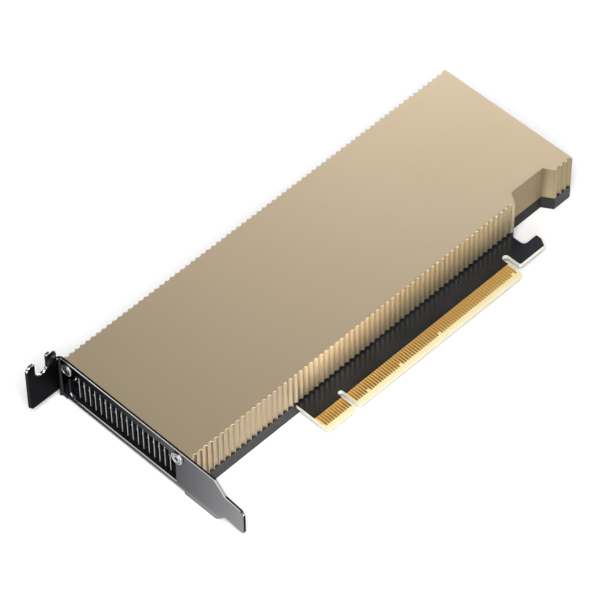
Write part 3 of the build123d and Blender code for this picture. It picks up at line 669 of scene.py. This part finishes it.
@dataclass
class Shroud:
    """Fluted shroud, with rounded upper edges and crests between its flutes."""

    near: float = 13.4
    far: float = 67.9
    rear: float = 166.5
    top: float = 14.2
    wall: float = 1.5
    roof: float = 1.0
    # the recess in the near side, and how far the channel keeps clear of it
    recess_front: float = 140.2
    recess_side: float = 18.0
    # X past which the near side takes the recess's painted shade
    recess_shade_front: float = 140.0
    channel_front: float = 139.0
    channel_side: float = 17.6
    pitch: float = 2.185
    width: float = 1.9
    depth: float = 0.62
    first: float = 1.36
    rear_first: float = 159.845
    # plain metal after the last flute: on the far side, before the recess and on the near side
    far_end: float = 0.4
    recess_end: float = 0.3
    near_end: float = 0.2
    round_r: float = 0.16
    steps: int = 4
    # flat ring inside the rounded edge, and limits for its corners
    ring: float = 0.05
    sharpest: float = 0.2
    furthest: float = 3.0
    _last: list[Vector] = field(default_factory=list, init=False)

    @property
    def radius(self) -> float:
        """Radius of a flute, from its width and depth."""
        half = self.width / 2
        return (half * half + self.depth * self.depth) / (2 * self.depth)

    def _flute_reach(self, x: float, first: float, offset: float) -> float:
        """How far a flute's wall lies inside the card's side at one place.

        Args:
            x: Place along the card.
            first: Where the row of flutes begins.
            offset: How far the outline is drawn in.

        Returns:
            Depth below the card's side, in millimetres.
        """
        number = round((x - first) / self.pitch - 0.5)
        middle = first + (number + 0.5) * self.pitch
        wide = self.radius + offset
        square = wide * wide - (x - middle) ** 2
        reach = self.depth - self.radius + sqrt(square) if square > 0 else 0.0
        return max(offset, reach)

    def _in_row(self, x: float, y: float) -> Optional[float]:
        """Find the row of flutes that holds a point of the outline.

        Args:
            x: Place along the card.
            y: Place across the card.

        Returns:
            Where the row begins, or None for a point on plain metal.
        """
        land = (self.pitch - self.width) / 2
        start = self.first + land - SLACK
        if y > self.far - self.depth - SLACK:
            return self.first if start < x < self.rear - self.far_end else None
        if y > self.near + self.depth + SLACK:
            return None
        if start < x < self.recess_front - self.recess_end:
            return self.first
        if self.rear_first + land - SLACK < x < self.rear - self.near_end:
            return self.rear_first
        return None

    def _drawn_in(self, outline: Sequence[Vector], number: int, offset: float) -> Vector:
        """Draw one point of the outline in by an offset.

        Args:
            outline: Points of the outline, in card millimetres, in order.
            number: Which point.
            offset: How far.

        Returns:
            The point's new place, in card millimetres.
        """
        here = outline[number]
        first = self._in_row(here.x, here.y)
        if first is not None:
            reach = self._flute_reach(here.x, first, offset)
            near = here.y < (self.near + self.far) / 2
            return Vector((here.x, self.near + reach if near else self.far - reach, here.z))
        before = (here - outline[number - 1]).normalized()
        after = (outline[(number + 1) % len(outline)] - here).normalized()
        inward = Vector((-before.y - after.y, before.x + after.x, 0.0))
        if inward.length < 1e-6:
            return here
        inward.normalize()
        along = Vector((-before.y, before.x, 0.0))
        reach = offset / max(self.sharpest, inward.dot(along))
        return here + inward * min(reach, self.furthest * offset)

    def build(self) -> Piece:
        """Copy the shroud's node and round its upper edge in rings.

        Returns:
            The finished shroud.
        """
        piece = merged_copy("shroud", "fluted_shroud")
        low = self.top - self.round_r
        with editing(piece):
            cut(at(0, 0, low), (0, 0, 1), clear_outer=True, threshold=CUT_WITHIN)
            outline = self._ordered_rim(piece)
            for step in range(1, self.steps + 2):
                turn = radians(90 * min(step, self.steps) / self.steps)
                offset = self.round_r * (1 - cos(turn))
                if step > self.steps:
                    offset += self.ring
                bpy.ops.mesh.extrude_edges_move()
                mesh = bmesh.from_edit_mesh(piece.data)
                key = {self._key(spot): number for number, spot in enumerate(self._last)}
                ring = list(outline)
                for vert in mesh.verts:
                    if vert.select:
                        number = key[self._key(card(vert.co))]
                        spot = self._drawn_in(outline, number, offset)
                        spot.z = low + self.round_r * sin(turn)
                        vert.co = at(*spot)
                        ring[number] = card(vert.co)
                self._last = ring
                bmesh.update_edit_mesh(piece.data)
            bpy.ops.mesh.edge_face_add()
            bpy.ops.mesh.select_all(action="SELECT")
            bpy.ops.mesh.normals_make_consistent(inside=False)
        smooth(piece, 40.0)
        dress(piece, CHAMPAGNE, CHANNEL_PAINTED_SHADE, RECESS_SHADE_CHAMPAGNE, FLUTE_LIGHT_CHAMPAGNE,
              choose=self._finish_of)
        settle(piece, "champagne_aluminium", "shroud")
        return piece

    def _finish_of(self, middle: Vector, normal: Vector) -> Finish:
        """Choose a face's finish.

        Args:
            middle: The face's middle, in card millimetres.
            normal: The face's normal.

        Returns:
            Painted shade in the channel, at the recess and at the corner behind it, painted light
            and shade on the rest of the near side, plain anywhere else.
        """
        inside = (self.near + self.wall < middle.y < self.far - self.wall
                  and middle.z < self.top - self.roof)
        # painted shade: the channel's faces are painted near black
        if inside and (middle.y > self.channel_side or middle.x < self.channel_front):
            return CHANNEL_PAINTED_SHADE
        if middle.y > self.recess_side or abs(normal.z) > LEANING:
            return CHAMPAGNE
        # painted shade at the recess and the corner behind it, painted light and shade on the
        # flutes
        return RECESS_SHADE_CHAMPAGNE if middle.x > self.recess_shade_front else FLUTE_LIGHT_CHAMPAGNE

    @staticmethod
    def _key(spot: Vector) -> tuple[int, int]:
        """A point's plan place in microns, to find it again."""
        return round(spot.x * 1000), round(spot.y * 1000)

    def _ordered_rim(self, piece: Piece) -> list[Vector]:
        """Select the open rim and list its points in order, anticlockwise from above.

        Args:
            piece: The piece in edit mode.

        Returns:
            Points of the rim in card millimetres.
        """
        mesh = bmesh.from_edit_mesh(piece.data)
        rim = [edge for edge in mesh.edges if edge.is_boundary]
        bpy.ops.mesh.select_mode(type="EDGE")
        bpy.ops.mesh.select_all(action="DESELECT")
        follow: dict[bmesh.types.BMVert, list[bmesh.types.BMEdge]] = {}
        for edge in rim:
            edge.select_set(True)
            for vert in edge.verts:
                follow.setdefault(vert, []).append(edge)
        mesh.select_flush_mode()
        bmesh.update_edit_mesh(piece.data)
        start = rim[0].verts[0]
        order, here, edge = [start], start, rim[0]
        while True:
            here = edge.other_vert(here)
            if here is start:
                break
            order.append(here)
            edge = next(e for e in follow[here] if e is not edge)
        spots = [card(vert.co) for vert in order]
        area = sum(a.x * b.y - b.x * a.y for a, b in zip(spots, spots[1:] + spots[:1]))
        if area < 0:
            spots.reverse()
        self._last = spots
        return spots


# ---- tray and bracket


# Y and Z of the screws that clamp the bracket
BRACKET_SCREWS = ((18.05, 11.4), (65.55, 11.4))


@dataclass
class Tray:
    """Black tray under the board."""

    edge: float = 0.15
    sharp: float = 35.0
    recess_low: float = 16.5
    recess_high: float = 17.5

    def build(self) -> Piece:
        """Copy the tray's node and break its edges.

        Returns:
            The finished tray.
        """
        piece = merged_copy("tray", "board_tray")
        modify(piece, "BEVEL", width=self.edge * MM, segments=2, limit_method="ANGLE",
               angle_limit=radians(self.sharp), use_clamp_overlap=True)
        smooth(piece)
        dress(piece, BLACK_TRAY, TRAY_RECESS_PAINTED_SHADE, choose=self._finish_of)
        settle(piece, "black_aluminium", "tray")
        return piece

    def _finish_of(self, middle: Vector, normal: Vector) -> Finish:
        """Choose the finish with painted shade for the recess's wall, and the plain one for the
        rest.
        """
        on_wall = abs(normal.z) < LEANING and self.recess_low < middle.y < self.recess_high
        return TRAY_RECESS_PAINTED_SHADE if on_wall else BLACK_TRAY


@dataclass
class Bracket:
    """Slot bracket folded from plated sheet, with painted light, shade and highlights on it, and a
    pressed dimple.
    """

    edge: float = 0.24
    sharp: float = 50.0
    tab_face: float = 68.64
    tab_reach: float = 0.3
    tip: float = -9.7
    face_low: float = -2.5
    foot_z: float = -1.5
    screw_clear: float = 2.0
    # Y past which the front's upright corners lose their painted highlight and take the foot's
    # painted light
    highlight_ends: float = 60.0
    # share of a corner's normal past which it slants, is no upright one, or tops the tab
    slant: float = 0.2
    upright: float = 0.15
    tab_top: float = 0.3
    dimple_x: float = -3.3
    dimple_z: float = 15.7
    dimple_r: float = 2.3
    dimple_rise: float = 0.42

    def build(self) -> Piece:
        """Copy the bracket's node, break its edges and press the dimple.

        Returns:
            The finished bracket.
        """
        piece = merged_copy("bracket", "slot_bracket")
        with editing(piece):
            cut(at(0, 0, self.foot_z), (0, 0, 1), threshold=CUT_WITHIN)
            self._pick_front_corners(piece)
            bpy.ops.mesh.bevel(offset=self.edge * MM, segments=1, affect="EDGES",
                               clamp_overlap=False)
        dress(piece, PLATE, PAINTED_HIGHLIGHT_EDGE, RAW_EDGE_PAINTED_SHADE, PLATE_PAINTED_LIGHT_FOOT, PLATE_TAB_PAINTED_SHADE,
              choose=self._finish_of)
        dome = self._dimple()
        # the dimple is painted lighter than the tab as painted light
        dress(dome, PLATE_DIMPLE_PAINTED_LIGHT)
        piece = join([piece, dome])
        smooth(piece, 25.0)
        settle(piece, "plated_steel", "bracket")
        return piece

    def _pick_front_corners(self, piece: Piece) -> None:
        """Select the sharp outline edges of the faces that look to the front.

        Args:
            piece: The piece in edit mode.
        """
        bpy.ops.mesh.select_mode(type="EDGE")
        bpy.ops.mesh.select_all(action="DESELECT")
        mesh = bmesh.from_edit_mesh(piece.data)
        for edge in mesh.edges:
            if len(edge.link_faces) != 2 or edge.calc_face_angle() < radians(self.sharp):
                continue
            front = [face for face in edge.link_faces if self._looks_front(face)]
            spot = card((edge.verts[0].co + edge.verts[1].co) / 2)
            round_hole = any((spot.y - y) ** 2 + (spot.z - z) ** 2 < self.screw_clear ** 2
                             for y, z in BRACKET_SCREWS)
            at_tip = spot.y < self.tip + self.tab_reach
            edge.select_set(len(front) == 1 and not round_hole and not at_tip
                            and spot.z > self.foot_z + SLACK)
        mesh.select_flush_mode()
        bmesh.update_edit_mesh(piece.data)

    def _looks_front(self, face: bmesh.types.BMFace) -> bool:
        """Whether a face is the bracket's front or the tab's face towards the tongue."""
        on_tab = card(face.calc_center_median()).y > self.tab_face - self.tab_reach
        return (face.normal.y if on_tab else face.normal.x) < -FACING

    def _finish_of(self, middle: Vector, normal: Vector) -> Finish:
        """Choose a face's finish.

        Args:
            middle: The face's middle, in card millimetres.
            normal: The face's normal.

        Returns:
            Painted highlight on front corners and slanting edges, raw steel with painted shade on
            other sheared edges, or the plating of the front, of the foot or of the tab and the
            tongue's tip, each with painted light or shade.
        """
        # painted shade on the tongue's tip and on the tab's faces
        if middle.y < self.tip + 10 * SLACK:
            return PLATE_TAB_PAINTED_SHADE
        if middle.z < self.face_low:
            return PLATE_PAINTED_LIGHT_FOOT
        on_tab = middle.y > self.tab_face - self.tab_reach
        front = normal.y if on_tab else normal.x
        if on_tab and max(abs(front), abs(normal.x)) > FACING:
            return PLATE_TAB_PAINTED_SHADE
        if abs(front) > FACING:
            # the front below the foot takes the lighter copy with painted light
            return PLATE_PAINTED_LIGHT_FOOT if middle.z < self.foot_z else PLATE
        if front < -self.slant:
            # front corners get the painted highlight, except upright ones towards the tab
            highlighted = abs(normal.z) > self.upright or middle.y < self.highlight_ends
            return PAINTED_HIGHLIGHT_EDGE if highlighted else PLATE_PAINTED_LIGHT_FOOT
        if on_tab:
            return PAINTED_HIGHLIGHT_EDGE if normal.z > self.tab_top else PLATE
        slanting = normal.y < -self.slant and normal.z > self.slant
        return PAINTED_HIGHLIGHT_EDGE if slanting else RAW_EDGE_PAINTED_SHADE

    def _dimple(self) -> Piece:
        """Model the shallow round dimple on the inner face of the tab.

        Returns:
            The dimple, a flattened ball whose outer half is drawn into a bell shape.
        """
        bpy.ops.object.select_all(action="DESELECT")
        bpy.ops.mesh.primitive_uv_sphere_add(
            segments=32, ring_count=16, radius=self.dimple_r * MM,
            location=at(self.dimple_x, self.tab_face + 2 * SLACK, self.dimple_z),
            rotation=(pi / 2, 0, 0), scale=(1, 1, self.dimple_rise / self.dimple_r),
        )
        dome = bpy.context.object
        dome.name = "dimple"
        bpy.ops.object.transform_apply(location=True, rotation=True, scale=True)
        with editing(dome):
            mesh = bmesh.from_edit_mesh(dome.data)
            for vert in mesh.verts:
                spot = card(vert.co)
                reach = sqrt((spot.x - self.dimple_x) ** 2 + (spot.z - self.dimple_z) ** 2)
                swell = self.dimple_rise * (1 + cos(pi * min(1.0, reach / self.dimple_r))) / 2
                if spot.y < self.tab_face + SLACK:
                    vert.co = at(spot.x, self.tab_face + SLACK - swell, spot.z)
            bmesh.update_edit_mesh(dome.data)
        return dome


@dataclass
class BracketScrews:
    """Low-headed screws that clamp the bracket, with a ring groove and a six-lobe socket."""

    turns: tuple[float, ...] = (8.0, 22.0)
    vertices: int = 48
    head_r: float = 2.25
    head_h: float = 0.65
    rim_r: float = 0.25
    groove_out: float = 1.75
    groove_in: float = 1.45
    groove_d: float = 0.3
    draft: float = 0.08
    socket_r: float = 0.8
    socket_land: float = 0.1
    lobe: float = 0.16
    socket_d: float = 1.1
    shank_r: float = 1.25
    shank_end: float = 7.86

    def build(self) -> None:
        """Model one screw along X and copy it to both holes."""
        master = self._screw()
        for number, ((y, z), turn) in enumerate(zip(BRACKET_SCREWS, self.turns), start=1):
            move = Matrix.Translation(at(0, y, z)) @ Matrix.Rotation(radians(turn), 4, "X")
            piece = copied(master, f"bracket_screw_{number}_shaped", move)
            dress(piece, SCREW_STEEL)
            smooth(piece, 35.0)
            settle(piece, "screw_steel", f"bracket_screw_{number}")
        bpy.data.objects.remove(master)

    def _screw(self) -> Piece:
        """One screw along X at the frame's origin, its head's face towards minus X.

        Returns:
            The screw, drawn out of one cylinder.
        """
        bpy.ops.object.select_all(action="DESELECT")
        bpy.ops.mesh.primitive_cylinder_add(
            vertices=self.vertices, radius=self.shank_r * MM, depth=self.shank_end * MM,
            rotation=(0, -pi / 2, 0), location=(self.shank_end * MM / 2, 0, 0),
        )
        piece = bpy.context.object
        bpy.ops.object.transform_apply(location=True, rotation=True, scale=True)
        with editing(piece):
            bpy.ops.mesh.select_mode(type="FACE")
            bpy.ops.mesh.select_all(action="DESELECT")
            mesh = bmesh.from_edit_mesh(piece.data)
            for face in mesh.faces:
                face.select_set(face.normal.x < -FACING)
            bmesh.update_edit_mesh(piece.data)
            # from the shank's end outwards: underside, side, round rim, groove, boss, socket
            self._ring(self.head_r, 0.0)
            self._ring(self.head_r, self.head_h - self.rim_r)
            for turn in (30, 60, 90):
                self._ring(self.head_r - self.rim_r * (1 - cos(radians(turn))),
                           self.head_h - self.rim_r * (1 - sin(radians(turn))))
            for radius, depth in (
                (self.groove_out, 0.0), (self.groove_out - self.draft, self.groove_d),
                (self.groove_in, self.groove_d), (self.groove_in - self.draft, 0.0),
                (self.socket_r + self.lobe + self.socket_land, 0.0),
            ):
                self._ring(radius, self.head_h - depth)
            self._ring(self.socket_r, self.head_h, self.lobe)
            self._ring(self.socket_r, self.head_h - self.socket_d, self.lobe)
            bpy.ops.mesh.select_all(action="SELECT")
            bpy.ops.mesh.normals_make_consistent(inside=False)
        return piece

    @staticmethod
    def _ring(radius: float, out: float, lobe: float = 0.0) -> None:
        """Draw the selected end face on to another ring.

        Args:
            radius: The new ring's mean radius, in millimetres.
            out: How far the ring stands out of the bracket's face.
            lobe: How far six lobes swing out of and into that radius.
        """
        piece = bpy.context.object
        bpy.ops.mesh.extrude_region_move()
        mesh = bmesh.from_edit_mesh(piece.data)
        for vert in mesh.verts:
            if vert.select:
                angle = atan2(vert.co.z, vert.co.y)
                wide = (radius + lobe * cos(6 * angle)) * MM
                vert.co = (-out * MM, wide * cos(angle), wide * sin(angle))
        bmesh.update_edit_mesh(piece.data)


# ---- board


@dataclass
class Board:
    """Circuit board: solder mask, bare tongue, bevel and pale routed edges.

    Its front edge, behind the bracket's window, takes the black solder mask as painted shade.
    """

    front: float = 1.8
    tongue_front: float = 44.55
    tongue_end: float = 129.75
    reach: float = 0.5
    mask_line: float = 6.0
    flat: float = 0.99

    def build(self) -> Piece:
        """Copy the board's node, part its faces at the mask line and paint them.

        Returns:
            The finished board.
        """
        piece = merged_copy("board", "circuit_board")
        with editing(piece):
            cut(at(0, self.mask_line, 0), (0, 1, 0), threshold=CUT_WITHIN)
        smooth(piece)
        dress(piece, MASK, LAMINATE_EDGE, LAMINATE, BEVEL, choose=self._finish_of)
        settle(piece, "board_laminate", "board")
        return piece

    def _finish_of(self, middle: Vector, normal: Vector) -> Finish:
        """Choose a face's finish.

        Args:
            middle: The face's middle, in card millimetres.
            normal: The face's normal.

        Returns:
            The finish of a routed edge, of the tongue's bevel or bare part, or solder mask, which
            the front edge takes as painted shade.
        """
        if abs(normal.z) < LEANING:
            # painted shade: the front edge behind the bracket's window gets the black mask
            return MASK if middle.x < self.front + self.reach else LAMINATE_EDGE
        in_tongue = self.tongue_front < middle.x < self.tongue_end + self.reach
        if in_tongue and abs(normal.z) < self.flat:
            return BEVEL
        return LAMINATE if in_tongue and middle.y < self.mask_line else MASK


# ---- fins


@dataclass
class FinStack:
    """Stack of folded fins, each with an interlock tab at its front edge."""

    front: float = 1.0
    rear: float = 154.0
    low_front: float = 0.4
    low_rear: float = 4.9
    step_x: float = 26.0
    top: float = 13.0
    first_y: float = 22.35
    pitch: float = 2.3
    count: int = 18
    thickness: float = 0.3
    web: float = 0.25
    # how far the webs stay inside the fins' ends, sides and step
    web_end: float = 0.05
    web_side: float = 0.02
    web_step: float = 0.3
    tab_z: float = 7.3
    tab_height: float = 0.5
    tab_reach: float = 0.35
    tab_length: float = 0.6

    def build(self) -> Piece:
        """Shape one fin, repeat it, and add the webs that join the fins.

        Returns:
            The finished stack.
        """
        fin = self._fin()
        fins = [copied(fin, f"fin_{n}", Matrix.Translation((0, n * self.pitch * MM, 0)))
                for n in range(self.count)]
        bpy.data.objects.remove(fin)
        last = self.first_y + (self.count - 1) * self.pitch + self.thickness
        near, far = self.first_y + self.web_side, last - self.web_side
        rear = self.rear - self.web_end
        webs = [
            cube("top_web", at(self.front + self.web_end, near, self.top - self.web),
                 at(rear, far, self.top - SLACK)),
            cube("low_web", at(self.step_x + self.web_step, near, self.low_rear + SLACK),
                 at(rear, far, self.low_rear + self.web)),
        ]
        piece = join(fins + webs)
        piece.name = "folded_fin_stack"
        smooth(piece, 30.0)
        dress(piece, FIN_METAL)
        settle(piece, "fin_aluminium", "fin_stack")
        return piece

    def _fin(self) -> Piece:
        """Model one fin: a thin sheet, deeper at the front, with its interlock tab.

        Returns:
            The first fin of the stack.
        """
        fin = cube("fin", at(self.front, self.first_y, self.low_rear),
                   at(self.rear, self.first_y + self.thickness, self.top))
        tab_end, tab_top = self.front + self.tab_length, self.tab_z + self.tab_height
        with editing(fin):
            cut(at(self.step_x, 0, 0), (1, 0, 0))
            pick_faces(fin, lambda spot, way: way.z < -FACING and spot.x < self.step_x)
            bpy.ops.mesh.extrude_region_move(
                TRANSFORM_OT_translate={"value": (0, 0, (self.low_front - self.low_rear) * MM)})
            cut(at(tab_end, 0, 0), (1, 0, 0))
            cut(at(0, 0, self.tab_z), (0, 0, 1))
            cut(at(0, 0, tab_top), (0, 0, 1))
            pick_faces(fin, lambda spot, way: way.y > FACING and spot.x < tab_end
                       and self.tab_z < spot.z < tab_top)
            bpy.ops.mesh.extrude_region_move(
                TRANSFORM_OT_translate={"value": (0, self.tab_reach * MM, 0)})
        return fin


# ---- carried-over nodes


@dataclass
class CarriedNodes:
    """CAD nodes whose shape is right, which only get a better finish."""

    finishes: dict[str, Finish] = field(default_factory=lambda: {
        "contacts_": GOLD,
        "insulator_sheet": FILM,
        "heatsink_base": COPPER,
        "package_substrate": GREEN_LAMINATE,
        "package_die": SILICON,
        "package_stiffener": STIFFENER,
        "thermal_paste": PASTE,
        "memory_chip_": CHIP,
        "memory_pad_": PAD,
        "power_pad": PAD,
        "inductor_": INDUCTOR,
        "power_stage_": CHIP,
        "polymer_capacitor_": CAN,
        "power_controller": CHIP,
        "firmware_chip": CHIP,
        "clock_crystal": CRYSTAL,
        "heatsink_screw_": SCREW_STEEL,
        "tray_screw_": BLACK_SCREW,
    })

    def dress(self) -> None:
        """Give each CAD node that still shows its finish."""
        for name, node in sorted(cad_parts.items()):
            if node.hide_render:
                continue
            finish = next(f for start, f in self.finishes.items() if name.startswith(start))
            material = finish.material()
            if not node.material_slots:
                node.data.materials.append(material)
            for slot in node.material_slots:
                slot.material = material
            log.info("%s keeps its CAD shape", name)


# ---- studio


@dataclass(frozen=True)
class Lamp:
    """Square softbox: its place and side in metres, power in watts and tint in linear light."""

    name: str
    place: Triple
    side: float
    power: float
    tint: Triple = (1.0, 1.0, 1.0)

    def hang(self) -> None:
        """Add the lamp to the scene, turned to face the card."""
        data = bpy.data.lights.new(self.name, "AREA")
        data.size = self.side
        data.energy = self.power
        data.color = self.tint
        lamp = bpy.data.objects.new(self.name, data)
        lamp.location = self.place
        lamp.rotation_euler = (-Vector(self.place)).to_track_quat("-Z", "Y").to_euler()
        bpy.context.scene.collection.objects.link(lamp)


LAMPS = (
    Lamp("key_softbox", (-0.6, -0.6, 1.25), 0.8, 28.0),
    Lamp("rear_softbox", (0.32, 0.24, 0.16), 0.4, 1.03, (0.97, 1.0, 1.1)),
    Lamp("near_softbox", (-0.11, -0.2, 0.09), 0.1, 0.25),
    Lamp("front_softbox", (-0.42, 0.29, 0.36), 0.36, 0.33),
    Lamp("edge_softbox", (0.27, -0.46, 0.28), 0.2, 0.15),
    Lamp("rim_softbox", (-0.533, -0.253, 0.075), 0.14, 0.05),
)


@dataclass
class Studio:
    """Floor, lights and camera. Places are in metres, the lens and its film in millimetres."""

    lens: float = 217.2456
    film: float = 36.0
    clip_start: float = 0.05
    camera_place: Triple = (-0.504645, -0.497665, 0.852419)
    right: Triple = (0.70404947, -0.71008493, -0.00968174)
    up: Triple = (0.54721923, 0.53377788, 0.6446955)
    back: Triple = (-0.45262066, -0.45919556, 0.76437816)
    world: float = 0.02
    floor_side: float = 6.0

    def build(self) -> None:
        """Set up the floor, the surroundings, the lamps and the camera."""
        self._floor()
        self._world()
        for lamp in LAMPS:
            lamp.hang()
        self._camera()
        bpy.context.scene.view_settings.view_transform = "Standard"

    def _floor(self) -> None:
        """Large flat floor that the card lies on."""
        bpy.ops.object.select_all(action="DESELECT")
        bpy.ops.mesh.primitive_plane_add(size=self.floor_side, location=(0, 0, 0))
        floor = bpy.context.object
        floor.name = "studio_floor"
        dress(floor, FLOOR)

    def _world(self) -> None:
        """Even pale surroundings."""
        world = bpy.data.worlds.new("studio_surroundings")
        bpy.context.scene.world = world
        world.use_nodes = True
        tree = world.node_tree
        tree.nodes.clear()
        light = add_node(tree, "ShaderNodeBackground",
                         {"Color": linear("#F4F6FA"), "Strength": self.world})
        add_node(tree, "ShaderNodeOutputWorld", {}, {"Surface": light.outputs[0]})

    def _camera(self) -> None:
        """Put the camera at the photograph's angle."""
        data = bpy.data.cameras.new("studio_camera")
        data.sensor_width = self.film
        data.lens = self.lens
        data.clip_start = self.clip_start
        camera = bpy.data.objects.new("studio_camera", data)
        axes = Matrix((self.right, self.up, self.back)).transposed().to_4x4()
        camera.matrix_world = Matrix.Translation(self.camera_place) @ axes
        bpy.context.scene.collection.objects.link(camera)
        bpy.context.scene.camera = camera


# ---- whole card


def main() -> None:
    """Build the card, dress it and light it."""
    logging.basicConfig(level=logging.INFO, format="%(name)s: %(message)s")
    Shroud().build()
    Tray().build()
    Bracket().build()
    BracketScrews().build()
    Board().build()
    FinStack().build()
    CarriedNodes().dress()
    Studio().build()


if __name__ == "__main__":
    main()
